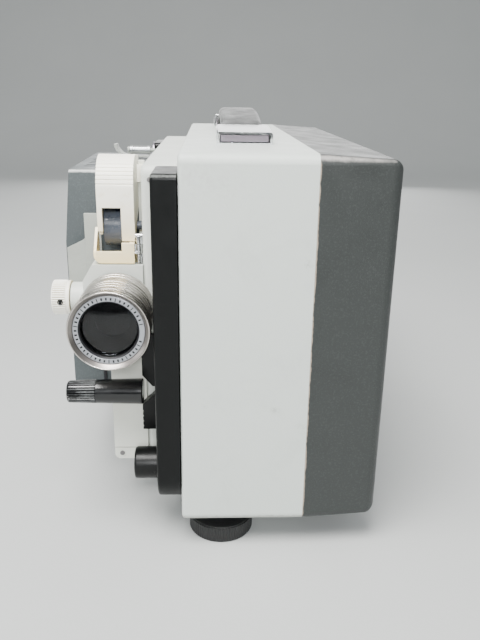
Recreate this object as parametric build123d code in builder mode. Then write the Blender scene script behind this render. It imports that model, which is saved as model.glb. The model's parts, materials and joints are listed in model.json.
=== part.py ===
from build123d import *
from math import asin, atan, cos, degrees, radians, sin
import os

# Film projector for 8 mm film, standing on three feet, reel arms folded down.
# Frame: +Z up, the lens looks along -Y, the film side faces -X.
# The origin is under the middle of the whole outline, on the table.

# Driving dimensions, in millimetres
case_depth = 275.0
case_height = 205.0
light_width = 68.5            # light grey half of the case
dark_width = 42.5             # dark side cover
mechanism_reach = 74.5        # from the case to the end of the focus knob
foot_height = 17.0
wall = 2.5
skin = 2.0                    # wall of the smaller covers
gap = 0.3                     # air between pieces that move past each other
running = 0.05                # radial clearance of a shaft in its hole

# Planes of the case
right = (mechanism_reach + light_width + dark_width) / 2
seam = right - dark_width
left = seam - light_width
front = -case_depth / 2
rear = front + case_depth
base = foot_height
top = base + case_height

# Film side: the housing on the case's left wall, and the film's own line
housing_left = left - 22.0
housing_front = front + 43.0
housing_rear = front + 268.0
housing_bottom = base + 16.0
housing_top = base + 194.8
lens_x = left - 36.4
lens_z = base + 115.0
gate_y = front + 63.0

# Drive line
shaft_x = left - 11.0
shaft_r = 3.0
shutter_y = front + 71.5
shutter_r = 33.0
motor_x, motor_z = left + 40.0, base + 80.0
belt_y = front + 170.0
band_x = left - 17.0
upper_y, upper_z = front + 64.0, base + 158.0
lower_y, lower_z = front + 62.0, base + 72.0
cross_y, cross_z = front + 110.0, base + 129.5
band_pulley_r = 6.0
sprocket_x0, sprocket_x1 = left - 44.3, left - 33.6

# Reel arms: both hang from a pivot near the top and carry a spindle at the bottom
arm_pivot_z = base + 183.0
spindle_z = base + 27.8
arm_half = 19.0
arm_end_r = 18.5
front_arm_y = front + 19.0
rear_arm_y = front + 251.0
spindle_r = 6.35              # standard 12.7 mm reel hub
pivot_r = 6.0
hub_r = 9.2
hub_sleeve_r = 8.0

# Lens
lens_r = 21.5
barrel_r = 17.0
focus_y, focus_z = front + 52.0, base + 117.7
focus_shaft_r = 3.0

# Lamp house
lamp_front, lamp_rear = front + 80.0, front + 189.0
lamp_bottom, lamp_knee, lamp_top = base + 51.6, base + 144.0, base + 187.4
lamp_left_top, lamp_left_low = left - 67.4, left - 71.6
lamp_right = housing_left - gap

# Levers, foot, handle
lever_x, lever_y, lever_z = left - 30.0, front + 33.0, base + 66.5
lever_pin_r = 3.0
thumb_x, thumb_z = left - 16.8, base + 52.0
foot_x, foot_y = left + 22.6, front + 21.9
foot_r = 18.8
foot_disc = 10.0
foot_stem_r = 6.0
handle_x = left + 34.6
handle_y = front + 161.0

LOW = (Align.CENTER, Align.CENTER, Align.MIN)


def plane_x(x):
    """Plane facing +X; sketch axes are Y and Z."""
    return Plane.YZ.offset(x)


def plane_y(y):
    """Plane facing -Y, so a positive extrusion comes forward; sketch axes are X and Z."""
    return Plane.XZ.offset(-y)


def plane_z(z):
    """Level plane; sketch axes are X and Y."""
    return Plane.XY.offset(z)


def block(x0, x1, y0, y1, z0, z1, mode=Mode.ADD):
    """Box between two corners."""
    with Locations(((x0 + x1) / 2, (y0 + y1) / 2, (z0 + z1) / 2)):
        Box(x1 - x0, y1 - y0, z1 - z0, mode=mode)


def bar_x(x0, x1, y, z, radius, mode=Mode.ADD):
    """Round bar along X."""
    with Locations(Location((x0, y, z), (0, 90, 0))):
        Cylinder(radius, x1 - x0, align=LOW, mode=mode)


def bar_y(x, y0, y1, z, radius, mode=Mode.ADD):
    """Round bar along Y."""
    with Locations(Location((x, y0, z), (-90, 0, 0))):
        Cylinder(radius, y1 - y0, align=LOW, mode=mode)


def bar_z(x, y, z0, z1, radius, mode=Mode.ADD):
    """Round bar along Z."""
    with Locations((x, y, z0)):
        Cylinder(radius, z1 - z0, align=LOW, mode=mode)


def panel(a0, a1, b0, b1, radius=0.0, mode=Mode.ADD):
    """Rectangle between two corners of a sketch, with rounded corners."""
    with Locations(((a0 + a1) / 2, (b0 + b1) / 2)):
        if radius > 0:
            RectangleRounded(a1 - a0, b1 - b0, radius, mode=mode)
        else:
            Rectangle(a1 - a0, b1 - b0, mode=mode)


def flutes(count, centre_radius, flute_radius):
    """Small circles around a round sketch, cut away to make a knurled edge."""
    with PolarLocations(centre_radius, count):
        Circle(flute_radius, mode=Mode.SUBTRACT)


def save(builder, name):
    """Label a finished piece and write its STEP file."""
    builder.part.label = name
    export_step(builder.part, f"parts/{name}.step")


os.makedirs("parts", exist_ok=True)

# ---------------------------------------------------------------- case
window = (front + 50.0, front + 230.0, base + 40.0, base + 185.0)
inlet_x0, inlet_x1 = left + 20.0, left + 46.0
inlet_z0, inlet_z1 = base + 14.0, base + 34.0
top_corner, low_corner = 5.0, 2.4
foot_bush_r = 9.0


def case_outline(inset):
    """Side view of the case, as a sketch: round upper corners and tighter lower ones."""
    panel(front + inset, rear - inset, base + inset, top - inset)
    corners = BuildSketch._get_context().vertices().group_by(Axis.Z)
    fillet(corners[-1], top_corner - inset)
    if low_corner > inset:
        fillet(corners[0], low_corner - inset)


with BuildPart() as case_shell:
    with BuildSketch(plane_x(left)):
        case_outline(0.0)
    extrude(amount=light_width)
    fillet(case_shell.faces().sort_by(Axis.X)[0].edges(), 2.2)
    with BuildSketch(plane_x(left + wall)):
        case_outline(wall)
    extrude(amount=light_width, mode=Mode.SUBTRACT)
    with BuildSketch(plane_x(left)):
        panel(*window, 4.0)
    extrude(amount=wall, mode=Mode.SUBTRACT)
    block(inlet_x0, inlet_x1, rear - wall, rear, inlet_z0, inlet_z1, Mode.SUBTRACT)
    bar_z(foot_x, foot_y, base, base + wall, foot_bush_r, Mode.SUBTRACT)
    bar_x(left, left + wall, front_arm_y, arm_pivot_z, pivot_r, Mode.SUBTRACT)
    with BuildSketch(plane_y(rear)):
        with GridLocations(8.0, 0.0, 6, 1):
            with Locations((left + 38.0, base + 90.0)):
                SlotOverall(50.0, 3.6, rotation=90)
    extrude(amount=wall, mode=Mode.SUBTRACT)
save(case_shell, "case_shell")

draft = 2.5                   # how far each edge of the dark cover leans in
draft_angle = degrees(atan(draft / dark_width))
with BuildPart() as side_cover:
    with BuildSketch(plane_x(seam)):
        case_outline(0.0)
    extrude(amount=dark_width, taper=draft_angle)
    fillet(side_cover.faces().sort_by(Axis.X)[-1].edges(), 6.5)
    with BuildSketch(plane_x(seam)):
        case_outline(wall)
    extrude(amount=dark_width - wall, taper=draft_angle, mode=Mode.SUBTRACT)
    with BuildSketch(plane_x(right)):
        with Locations((front + 190.0, base + 105.0)):
            with GridLocations(9.0, 0.0, 10, 1):
                SlotOverall(90.0, 4.4, rotation=90)
    extrude(amount=-wall, mode=Mode.SUBTRACT)
    with BuildSketch(plane_x(right)):
        with Locations((front + case_depth / 2, base + case_height / 2)):
            with GridLocations(case_depth - 44.0, case_height - 44.0, 2, 2):
                Circle(2.1)
    extrude(amount=-wall, mode=Mode.SUBTRACT)
save(side_cover, "side_cover")

with BuildPart() as side_cover_screws:
    with BuildSketch(plane_x(right - wall - 6.0)):
        with Locations((front + case_depth / 2, base + case_height / 2)):
            with GridLocations(case_depth - 44.0, case_height - 44.0, 2, 2):
                Circle(2.0)
    extrude(amount=wall + 6.0)
save(side_cover_screws, "side_cover_screws")

with BuildPart() as rear_feet:
    with BuildSketch(plane_z(0)):
        with Locations((left + 14.0, rear - 24.0), (right - 18.0, rear - 24.0)):
            Circle(9.0)
    extrude(amount=foot_height)
    chamfer(rear_feet.faces().sort_by(Axis.Z)[0].edges(), 1.5)
save(rear_feet, "rear_feet")

# ---------------------------------------------------------------- chassis and drive
plate_x = left + wall
flange_y = front + 177.0
with BuildPart() as chassis_plate:
    block(plate_x, plate_x + 2, front + 8, rear - 8, base + 10, top - 10)
    block(plate_x, plate_x + 2, shutter_y - 3, shutter_y + 4, lens_z - 36, lens_z + 36, Mode.SUBTRACT)
    block(plate_x, plate_x + 2, belt_y - 7, belt_y + 5, base + 72, base + 136, Mode.SUBTRACT)
    for post_y in (front + 80.0, front + 150.0):
        block(shaft_x - 6, plate_x, post_y, post_y + 8, lens_z - 7, lens_z + 7)
    bar_y(shaft_x, front + 79, front + 159, lens_z, shaft_r + running, Mode.SUBTRACT)
    block(plate_x + 2, left + 67, flange_y, flange_y + 2.5, base + 50, base + 110)
    bar_y(motor_x, flange_y, flange_y + 2.5, motor_z, 10.0, Mode.SUBTRACT)
    for y, z in ((upper_y, upper_z), (lower_y, lower_z), (cross_y, cross_z)):
        bar_x(plate_x, plate_x + 2, y, z, 2.5 + running, Mode.SUBTRACT)
save(chassis_plate, "chassis_plate")

main_pulley_r, motor_pulley_r = 8.6, 7.0
groove = 2.5
with BuildPart() as main_shaft:
    bar_y(shaft_x, front + 64, front + 184, lens_z, shaft_r)
    bar_y(shaft_x + 1.0, front + 65, front + 68.5, lens_z, 4.5)
    bar_y(shaft_x, front + 104, front + 116, lens_z, 4.0)
    bar_y(shaft_x, belt_y - 4, belt_y + 4, lens_z, main_pulley_r)
    with BuildSketch(plane_y(belt_y + 2)):
        with Locations((shaft_x, lens_z)):
            Circle(main_pulley_r)
            Circle(main_pulley_r - groove, mode=Mode.SUBTRACT)
    extrude(amount=4, mode=Mode.SUBTRACT)
save(main_shaft, "main_shaft")

blade_angle = 60.0
with BuildPart() as shutter_disc:
    with BuildSketch(plane_y(shutter_y + 1)):
        with Locations((shaft_x, lens_z)):
            Circle(shutter_r)
            with PolarLocations(0.0, 3):
                with BuildLine():
                    outer = CenterArc((0, 0), shutter_r + 1, 0, blade_angle)
                    inner = CenterArc((0, 0), 14.0, 0, blade_angle)
                    Line(outer @ 0, inner @ 0)
                    Line(outer @ 1, inner @ 1)
                make_face(mode=Mode.SUBTRACT)
            Circle(shaft_r, mode=Mode.SUBTRACT)
    extrude(amount=1)
save(shutter_disc, "shutter_disc")

with BuildPart() as motor_body:
    bar_y(motor_x, flange_y + 2.5, front + 235, motor_z, 26.0)
    fillet(motor_body.edges().filter_by(GeomType.CIRCLE), 3.0)
    bar_y(motor_x, flange_y, front + 240, motor_z, 3.0 + running, Mode.SUBTRACT)
save(motor_body, "motor_body")

with BuildPart() as motor_shaft:
    bar_y(motor_x, front + 160, front + 262, motor_z, 3.0)
    bar_y(motor_x, belt_y - 4, belt_y + 4, motor_z, motor_pulley_r)
    with BuildSketch(plane_y(belt_y + 2)):
        with Locations((motor_x, motor_z)):
            Circle(motor_pulley_r)
            Circle(motor_pulley_r - groove, mode=Mode.SUBTRACT)
    extrude(amount=4, mode=Mode.SUBTRACT)
save(motor_shaft, "motor_shaft")

fan_y0, fan_y1, fan_r = front + 242.0, front + 260.0, 28.0
with BuildPart() as cooling_fan:
    with BuildSketch(plane_y(fan_y1)):
        with Locations((motor_x, motor_z)):
            Circle(fan_r)
            Circle(3.0, mode=Mode.SUBTRACT)
    extrude(amount=2)
    with BuildSketch(plane_y(fan_y1 - 2)):
        with Locations((motor_x, motor_z)):
            with PolarLocations(fan_r - 7.0, 16):
                Rectangle(13.0, 1.2, rotation=20)
            Circle(8.0)
            Circle(3.0, mode=Mode.SUBTRACT)
    extrude(amount=fan_y1 - 2 - fan_y0)
save(cooling_fan, "cooling_fan")

with BuildPart() as drive_belt:
    with BuildSketch(plane_y(belt_y + 1.6)):
        with Locations((shaft_x, lens_z)):
            Circle(main_pulley_r - groove + gap + 1.6)
        with Locations((motor_x, motor_z)):
            Circle(motor_pulley_r - groove + gap + 1.6)
        make_hull()
    extrude(amount=3.2)
    with BuildSketch(plane_y(belt_y + 1.6)):
        with Locations((shaft_x, lens_z)):
            Circle(main_pulley_r - groove + gap)
        with Locations((motor_x, motor_z)):
            Circle(motor_pulley_r - groove + gap)
        make_hull()
    extrude(amount=3.2, mode=Mode.SUBTRACT)
save(drive_belt, "drive_belt")

band_centres = ((upper_y, upper_z), (lower_y, lower_z), (cross_y, cross_z))
with BuildPart() as sprocket_band:
    with BuildSketch(plane_x(band_x - 1.2)):
        with Locations(*band_centres):
            Circle(band_pulley_r + gap + 1.2)
        make_hull()
    extrude(amount=2.4)
    with BuildSketch(plane_x(band_x - 1.2)):
        with Locations(*band_centres):
            Circle(band_pulley_r + gap)
        make_hull()
    extrude(amount=2.4, mode=Mode.SUBTRACT)
save(sprocket_band, "sprocket_band")

with BuildPart() as worm_wheel:
    bar_x(band_x - 1.5, plate_x + 2, cross_y, cross_z, 2.5)
    bar_x(band_x - 1.5, band_x + 1.5, cross_y, cross_z, band_pulley_r)
    with BuildSketch(plane_x(shaft_x - 2)):
        with Locations((cross_y, cross_z)):
            Circle(10.0)
            flutes(24, 10.0, 0.7)
    extrude(amount=4)
save(worm_wheel, "worm_wheel")


def sprocket(y, z, drum_radius):
    """Film sprocket with its shaft and band pulley, on an X axis."""
    with BuildPart() as piece:
        bar_x(sprocket_x0, plate_x + 2, y, z, 2.5)
        bar_x(band_x - 1.5, band_x + 1.5, y, z, band_pulley_r)
        bar_x(sprocket_x0, sprocket_x1, y, z, drum_radius)
        bar_x(sprocket_x0 + 2, sprocket_x1 - 2, y, z, drum_radius - 1.2)
        with BuildSketch(plane_x(sprocket_x1 - 1.6)):
            with Locations((y, z)):
                with PolarLocations(drum_radius + 0.2, 12):
                    Rectangle(1.6, 0.9)
        extrude(amount=0.8)
    return piece


upper_sprocket = sprocket(upper_y, upper_z, 11.6)
save(upper_sprocket, "upper_sprocket")
lower_sprocket = sprocket(lower_y, lower_z, 9.6)
save(lower_sprocket, "lower_sprocket")

with BuildPart() as transformer_core:
    block(left + 6, left + 62, front + 50, front + 80, base + wall, base + 58)
    for x in (left + 16.0, left + 42.0):
        block(x, x + 10, front + 50, front + 80, base + 14, base + 47, Mode.SUBTRACT)
save(transformer_core, "transformer_core")

with BuildPart() as transformer_coil:
    block(left + 16.5, left + 51.5, front + 40, front + 90, base + 14.5, base + 46.5)
    block(left + 25.8, left + 42.2, front + 49.8, front + 80.2, base + 14.5, base + 46.5, Mode.SUBTRACT)
    fillet(transformer_coil.edges().filter_by(Axis.Z).group_by(Axis.Y)[0], 6.0)
    fillet(transformer_coil.edges().filter_by(Axis.Z).group_by(Axis.Y)[-1], 6.0)
save(transformer_coil, "transformer_coil")

with BuildPart() as mains_inlet:
    block(inlet_x0, inlet_x1, rear - 18, rear, inlet_z0, inlet_z1)
    block(inlet_x0 + 3, inlet_x1 - 3, rear - 14, rear, inlet_z0 + 3, inlet_z1 - 3, Mode.SUBTRACT)
    for x in (inlet_x0 + 7.0, inlet_x1 - 7.0):
        bar_y(x, rear - 14, rear - 2, (inlet_z0 + inlet_z1) / 2, 1.6)
save(mains_inlet, "mains_inlet")

# ---------------------------------------------------------------- mechanism housing
with BuildPart() as mechanism_housing:
    with BuildSketch(plane_x(housing_left)):
        panel(housing_front, housing_rear, housing_bottom, housing_top, 6.0)
    extrude(amount=left - housing_left)
    fillet(mechanism_housing.faces().sort_by(Axis.X)[0].edges(), 3.0)
    with BuildSketch(plane_x(housing_left + skin)):
        panel(housing_front + skin, housing_rear - skin, housing_bottom + skin, housing_top - skin, 4.0)
    extrude(amount=left - housing_left, mode=Mode.SUBTRACT)
    block(housing_left, housing_left + skin, front + 65, front + 75, lens_z - 36, lens_z + 36,
          Mode.SUBTRACT)
    for y, z in ((upper_y, upper_z), (lower_y, lower_z)):
        bar_x(housing_left, housing_left + skin, y, z, 2.5 + running, Mode.SUBTRACT)
    bar_y(lens_x, housing_front, front + 60, lens_z, barrel_r + 0.5, Mode.SUBTRACT)
    with BuildSketch(plane_y(housing_front + skin)):
        panel(thumb_x - 2.8, thumb_x + 2.8, thumb_z - 13.0, thumb_z + 3.2, 2.6)
    extrude(amount=skin, mode=Mode.SUBTRACT)
save(mechanism_housing, "mechanism_housing")

cover_left = left - 42.5
with BuildPart() as lower_cover:
    with BuildSketch(plane_y(front + 70)):
        panel(cover_left, housing_left, base + 24, base + 93.5)
        panel(cover_left - 1, housing_left - skin, base + 23, base + 91.5, mode=Mode.SUBTRACT)
    extrude(amount=front + 70 - housing_front)
    block(cover_left, housing_left, housing_front, housing_front + skin, base + 24, base + 93.5)
    bar_y(lever_x, housing_front, housing_front + skin, lever_z, lever_pin_r + running, Mode.SUBTRACT)
    for y, z in ((lower_y, lower_z),):
        bar_x(housing_left - skin, housing_left, y, z, 2.5 + running, Mode.SUBTRACT)
save(lower_cover, "lower_cover")

with BuildPart() as lower_trim:
    with BuildSketch(plane_y(front + 60)):
        panel(cover_left, housing_left + 8, housing_bottom, base + 24, 3.5)
        panel(cover_left, housing_left + 8, base + 20, base + 24)
        panel(housing_left, housing_left + 9, housing_bottom, base + 24, mode=Mode.SUBTRACT)
    extrude(amount=front + 60 - housing_front)
save(lower_trim, "lower_trim")

with BuildPart() as housing_screws:
    for x, z in ((cover_left + 4.5, base + 20.2), (housing_left + 5.0, housing_top - 8)):
        bar_y(x, housing_front - 0.6, housing_front, z, 2.2)
save(housing_screws, "housing_screws")

with BuildPart() as lens_holder:
    with BuildSketch(plane_y(front + 58)):
        with BuildLine():
            Polyline(
                (housing_left, base + 94), (left - 54, base + 94), (left - 56, base + 96),
                (left - 56, base + 130), (left - 50.5, base + 139.3), (housing_left, base + 139.3),
                close=True,
            )
        make_face()
        with Locations((lens_x, lens_z)):
            Circle(barrel_r + running, mode=Mode.SUBTRACT)
    extrude(amount=front + 58 - housing_front)
    bar_x(left - 56, lens_x, focus_y, focus_z, focus_shaft_r + running, Mode.SUBTRACT)
save(lens_holder, "lens_holder")

with BuildPart() as hinge_plate:
    with BuildSketch(plane_y(housing_front)):
        with BuildLine():
            Polyline(
                (left - 2, base + 66), (left - 18.2, base + 66), (left - 24.2, base + 73),
                (left - 24.2, base + 99), (left - 2, base + 99), close=True,
            )
        make_face()
        with Locations((lens_x, lens_z)):
            Circle(lens_r + 0.4, mode=Mode.SUBTRACT)
    extrude(amount=2.5)
save(hinge_plate, "hinge_plate")

with BuildPart() as gate_plate:
    with BuildSketch(plane_y(gate_y + 2)):
        panel(left - 57, housing_left, base + 98.5, base + 138)
        panel(left - 57, left - 47.5, base + 137, base + 164.6)
        with Locations((lens_x, lens_z)):
            Rectangle(5.8, 4.3, mode=Mode.SUBTRACT)
        panel(lens_x + 3.6, lens_x + 4.8, lens_z - 9.0, lens_z + 4.0, mode=Mode.SUBTRACT)
    extrude(amount=2)
save(gate_plate, "gate_plate")

with BuildPart() as pressure_plate:
    with BuildSketch(plane_y(gate_y - 0.6)):
        panel(lens_x - 7, lens_x + 7, base + 100, base + 134, 2.0)
        with Locations((lens_x, lens_z)):
            Rectangle(7.5, 6.0, mode=Mode.SUBTRACT)
    extrude(amount=1.4)
save(pressure_plate, "pressure_plate")

claw_y = front + 65.6
with BuildPart() as claw_arm:
    with BuildSketch(plane_y(claw_y + 1.8)):
        panel(shaft_x - 10.5, shaft_x + 9.5, lens_z - 10.0, lens_z + 14.4, 3.0)
        panel(lens_x + 3.8, shaft_x - 8, lens_z + 1.0, lens_z + 3.5)
        panel(shaft_x - 7.5, shaft_x + 7.5, lens_z - 6.2, lens_z + 10.6, 2.0, mode=Mode.SUBTRACT)
    extrude(amount=1.8)
save(claw_arm, "claw_arm")

with BuildPart() as light_shield:
    with BuildSketch(plane_y(gate_y + 3.0)):
        with BuildLine():
            Polyline(
                (left - 68.0, base + 122), (left - 50, base + 122), (left - 50, base + 137.5),
                (left - 56.6, base + 150.3), (left - 59.0, base + 148.4), (left - 68.0, base + 144),
                close=True,
            )
        make_face()
    extrude(amount=1.0)
    with BuildSketch(plane_x(left - 68.0)):
        with BuildLine():
            Polyline(
                (gate_y + 2.0, base + 122), (gate_y + 15.0, base + 122),
                (gate_y + 15.0, base + 140), (gate_y + 2.0, base + 144), close=True,
            )
        make_face()
    extrude(amount=1.0)
save(light_shield, "light_shield")

# ---------------------------------------------------------------- film guide over the upper sprocket
guide_left, guide_right = left - 46.6, left - 26.2
guide_front, guide_back = front + 46.0, front + 78.0
guide_low, guide_high = base + 151.8, base + 198.2
brow_r = 17.5
brow_z = guide_high - brow_r
guide_window_x0, guide_window_x1 = left - 43.8, left - 33.5
with BuildPart() as film_guide:
    with BuildSketch(plane_x(guide_left)):
        with BuildLine():
            Polyline((guide_front + 1.5, guide_low), (guide_front, base + 166), (guide_front, brow_z))
            CenterArc((guide_front + brow_r, brow_z), brow_r, 90, 90)
            Polyline(
                (guide_front + brow_r, guide_high), (guide_back, guide_high - 1.5),
                (guide_back, base + 172), (guide_front + 1.5, guide_low),
            )
        make_face()
    extrude(amount=guide_right - guide_left)
    with BuildSketch(plane_x(guide_left + skin)):
        with BuildLine():
            Polyline(
                (guide_front + 3.4, guide_low - 1), (guide_front + 2, base + 166), (guide_front + 2, brow_z)
            )
            CenterArc((guide_front + brow_r, brow_z), brow_r - 2, 90, 90)
            Polyline(
                (guide_front + brow_r, guide_high - 2), (guide_back - 2, guide_high - 3.5),
                (guide_back - 2, base + 150), (guide_front + 3.4, guide_low - 1),
            )
        make_face()
    extrude(amount=guide_right - guide_left - 2 * skin, mode=Mode.SUBTRACT)
    block(guide_window_x0, guide_window_x1, guide_front - 1, guide_front + 5, guide_low - 1, base + 170.7,
          Mode.SUBTRACT)
    block(guide_left - 1, guide_window_x0 + 1, guide_front - 1, guide_front + 6, guide_low - 1,
          base + 157.5, Mode.SUBTRACT)
    for groove in range(6):
        tilt = 9.5 + 7.8 * groove
        groove_y = guide_front + brow_r - brow_r * cos(radians(tilt))
        groove_z = brow_z + brow_r * sin(radians(tilt))
        with Locations(Location(((guide_left + guide_right) / 2, groove_y, groove_z), (-tilt, 0, 0))):
            Box(guide_right - guide_left, 0.8, 0.5, mode=Mode.SUBTRACT)
    bar_x(guide_right - skin, guide_right, upper_y, upper_z, 2.5 + 0.5, Mode.SUBTRACT)
    block(guide_right - skin, guide_right, upper_y - 3, upper_y + 3, base + 150, upper_z, Mode.SUBTRACT)
    block(guide_right, housing_left, guide_front + 22, guide_front + 30, base + 182, base + 192)
save(film_guide, "film_guide")

# The shoe under the sprocket swings open on a chrome pin at its right
pin_x, pin_y = left - 24.1, front + 46.4
knuckle_r, pin_r = 1.9, 1.1
knuckle_low, knuckle_high = base + 145.3, base + 150.7
shoe_left, shoe_low = left - 49.6, base + 139.9
shoe_right = guide_right - gap
shoe_front = front + 44.0
with BuildPart() as guide_shoe:
    for far_x, far_y, high in (
        (shoe_right, front + 59, guide_low - gap), (guide_left - 0.5, front + 58, base + 158)
    ):
        with BuildSketch(plane_z(shoe_low)) as shoe_outline:
            panel(shoe_left, far_x, shoe_front, far_y)
            fillet(shoe_outline.vertices().sort_by(lambda v: v.X + v.Y)[0], 2.0)
        extrude(amount=high - shoe_low)
    with BuildSketch(plane_x(shoe_left - 1)):
        with BuildLine():
            Polyline(
                (shoe_front - 1, base + 146.6), (shoe_front + 2.6, base + 146.6), (front + 57, base + 159),
                (shoe_front - 1, base + 159), close=True,
            )
        make_face()
    extrude(amount=guide_window_x1 - shoe_left + 1, mode=Mode.SUBTRACT)
    block(shoe_left + 1.6, shoe_right - 3, front + 46.2, front + 60, shoe_low + skin, base + 160,
          Mode.SUBTRACT)
    block(shoe_right - 4, shoe_right + 1, front + 50.5, front + 60, shoe_low + skin, base + 160,
          Mode.SUBTRACT)
    with BuildSketch(plane_y(front + 62)):
        with BuildLine():
            Line((shoe_left - 1, base + 145), (shoe_left, base + 145))
            ThreePointArc(
                (shoe_left, base + 145), (shoe_left + 1.5, base + 141.4), (shoe_left + 5.1, shoe_low)
            )
            Polyline(
                (shoe_left + 5.1, shoe_low), (shoe_left + 5.1, shoe_low - 1), (shoe_left - 1, shoe_low - 1),
                (shoe_left - 1, base + 145),
            )
        make_face()
    extrude(amount=20, mode=Mode.SUBTRACT)
save(guide_shoe, "guide_shoe")

with BuildPart() as shoe_hinge:
    bar_z(pin_x, pin_y, knuckle_low, knuckle_high, knuckle_r)
    block(shoe_right, pin_x, pin_y - 1.2, pin_y + 1.2, knuckle_low, knuckle_high)
    bar_y(shoe_right + 0.9, pin_y - 2.0, pin_y, base + 146.6, 0.9)
    bar_z(pin_x, pin_y, knuckle_low, knuckle_high, pin_r + running, Mode.SUBTRACT)
save(shoe_hinge, "shoe_hinge")

with BuildPart() as guide_pin:
    for z0, z1 in ((base + 140.0, base + 145.0), (base + 151.0, base + 155.3)):
        bar_z(pin_x, pin_y, z0, z1, knuckle_r - 0.4)
        block(pin_x, housing_left, pin_y - 1.0, pin_y + 1.0, z0, z1)
    bar_z(pin_x, pin_y, base + 140, base + 155.3, pin_r)
    bar_x(left - 26.0, housing_left, pin_y, base + 155.5, 1.2)
save(guide_pin, "guide_pin")

roller_y, roller_z = front + 150.0, base + 193.1
roller_x0, roller_x1 = left - 38.8, left - 25.2
with BuildPart() as rear_guide_roller:
    bar_x(roller_x0, roller_x1, roller_y, roller_z, 2.6)
    for flange_x in (roller_x0, roller_x1 - 2.0):
        bar_x(flange_x, flange_x + 2.0, roller_y, roller_z, 2.9)
    bar_x(roller_x0, roller_x1, roller_y, roller_z, 1.3 + running, Mode.SUBTRACT)
save(rear_guide_roller, "rear_guide_roller")

lip_low, lip_high = base + 188.6, base + 189.6
with BuildPart() as rear_guide_lip:
    with BuildSketch(plane_y(roller_y + 5)):
        with BuildLine():
            Line((housing_left, lip_low), (left - 39, lip_low))
            ThreePointArc((left - 39, lip_low), (left - 46.0, base + 191.0), (left - 49.2, base + 196.9))
            Line((left - 49.2, base + 196.9), (left - 47.4, base + 196.9))
            ThreePointArc((left - 47.4, base + 196.9), (left - 44.8, base + 192.1), (left - 39, lip_high))
            Polyline((left - 39, lip_high), (housing_left, lip_high), (housing_left, lip_low))
        make_face()
    extrude(amount=10)
    bar_x(roller_x0 - 1.6, housing_left, roller_y, roller_z, 1.3)
    bar_x(roller_x0 - 1.6, roller_x0 - gap, roller_y, roller_z, 2.2)
    block(roller_x0 - 1.6, roller_x0 - gap, roller_y - 1.5, roller_y + 1.5, lip_low, roller_z)
save(rear_guide_lip, "rear_guide_lip")

# ---------------------------------------------------------------- lamp house
house_outline = (
    (lamp_right, lamp_bottom), (lamp_left_low, lamp_bottom), (lamp_left_low, lamp_knee),
    (lamp_left_top, lamp_top), (lamp_right, lamp_top),
)
house_inner = (
    (lamp_right + 1, lamp_bottom + skin), (lamp_left_low + skin, lamp_bottom + skin),
    (lamp_left_low + skin, lamp_knee), (lamp_left_top + skin, lamp_top - skin),
    (lamp_right + 1, lamp_top - skin),
)
lamp_hinge_r = 1.5            # round rear corner about which the lamp house swings open
with BuildPart() as lamp_house_cover:
    with BuildSketch(plane_y(lamp_rear)):
        with BuildLine():
            Polyline(*house_outline, close=True)
        make_face()
    extrude(amount=lamp_rear - lamp_front)
    upright = lamp_house_cover.edges().filter_by(Axis.Z)
    fillet(upright.sort_by(lambda e: e.center().X + e.center().Y)[-1], lamp_hinge_r)
    front_face = lamp_house_cover.faces().filter_by(Axis.Y).sort_by(Axis.Y)[0]
    fillet(front_face.edges().filter_by(Axis.X).sort_by(Axis.Z)[-1], 2.0)
    with BuildSketch(plane_y(lamp_rear - skin)):
        with BuildLine():
            Polyline(*house_inner, close=True)
        make_face()
    extrude(amount=lamp_rear - lamp_front - 2 * skin, mode=Mode.SUBTRACT)
    bar_y(lens_x, lamp_front, lamp_front + skin, lens_z, 8.0, Mode.SUBTRACT)
    with BuildSketch(plane_z(lamp_top - skin)):
        with Locations((left - 46.0, front + 136.0)):
            with GridLocations(0.0, 9.0, 1, 9):
                SlotOverall(32.0, 3.0)
    extrude(amount=skin, mode=Mode.SUBTRACT)
    with BuildSketch(plane_x(lamp_left_low - 1)):
        with Locations((front + 140.0, base + 92.0)):
            with GridLocations(0.0, 9.0, 1, 6):
                SlotOverall(64.0, 3.4)
    extrude(amount=7, mode=Mode.SUBTRACT)
    block(lamp_right - 5, lamp_right, lamp_front, lamp_front + 2, lamp_bottom, base + 98, Mode.SUBTRACT)
save(lamp_house_cover, "lamp_house_cover")

lamp_plane = Plane(origin=(lens_x, front, lens_z), x_dir=(0, 1, 0), z_dir=(1, 0, 0))
optical_axis = Axis((lens_x, front, lens_z), (0, 1, 0))
with BuildPart() as lamp_reflector:
    with BuildSketch(lamp_plane):
        with BuildLine():
            ThreePointArc((98, 13.2), (110, 9.6), (119, 4.2))
            Line((119, 4.2), (120, 5.2))
            ThreePointArc((120, 5.2), (110.6, 10.8), (98, 14.2))
            Line((98, 14.2), (98, 13.2))
        make_face()
    revolve(axis=optical_axis)
save(lamp_reflector, "lamp_reflector")

with BuildPart() as lamp_bulb:
    with BuildSketch(lamp_plane):
        with BuildLine():
            CenterArc((104.8, 0), 3.8, 90, 90)
            Polyline((104.8, 3.8), (123.8, 3.8), (123.8, 0), (101, 0))
        make_face()
    revolve(axis=optical_axis)
save(lamp_bulb, "lamp_bulb")

with BuildPart() as lamp_socket:
    block(lens_x - 8, housing_left, front + 124, front + 138, lens_z - 8, lens_z + 8)
    fillet(lamp_socket.edges().filter_by(Axis.Y), 2.0)
save(lamp_socket, "lamp_socket")

# ---------------------------------------------------------------- lens
def turned(points):
    """Body of revolution about the lens axis from points (distance behind the front, radius)."""
    with BuildPart() as piece:
        with BuildSketch(lamp_plane):
            with BuildLine():
                Polyline(*points, close=True)
            make_face()
        revolve(axis=optical_axis)
    return piece


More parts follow.
